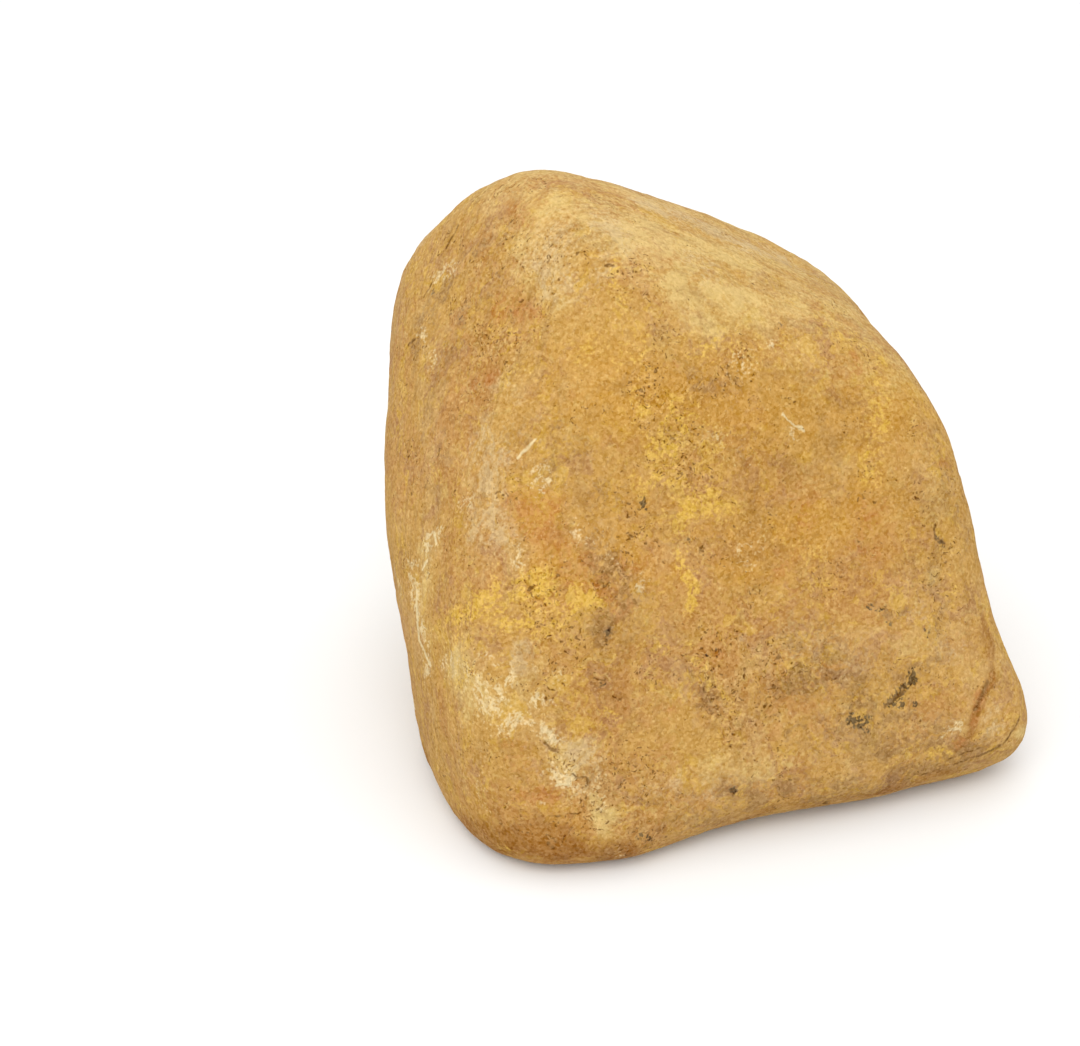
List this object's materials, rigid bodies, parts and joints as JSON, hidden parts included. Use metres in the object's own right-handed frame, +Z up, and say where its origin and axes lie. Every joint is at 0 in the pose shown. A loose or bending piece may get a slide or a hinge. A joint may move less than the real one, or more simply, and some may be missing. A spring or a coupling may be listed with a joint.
{
  "type": "boulder",
  "caption": "Weathered sandstone boulder: a broad leaning front face, rounded corners, a foot that juts out low on the right, and a flat bed to rest on.",
  "frame": {"origin": "on the ground, under the middle of the stone's box", "axes": "+Z up from the bed, the broad front face looks along -Y, and the foot juts out towards +X"},
  "size_m": [0.4144, 0.3742, 0.3925],
  "materials": {
    "sandstone": "rough, weathered, honey-coloured"
  },
  "bodies": {
    "root": {"boulder": "sandstone"}
  },
  "joints": []
}
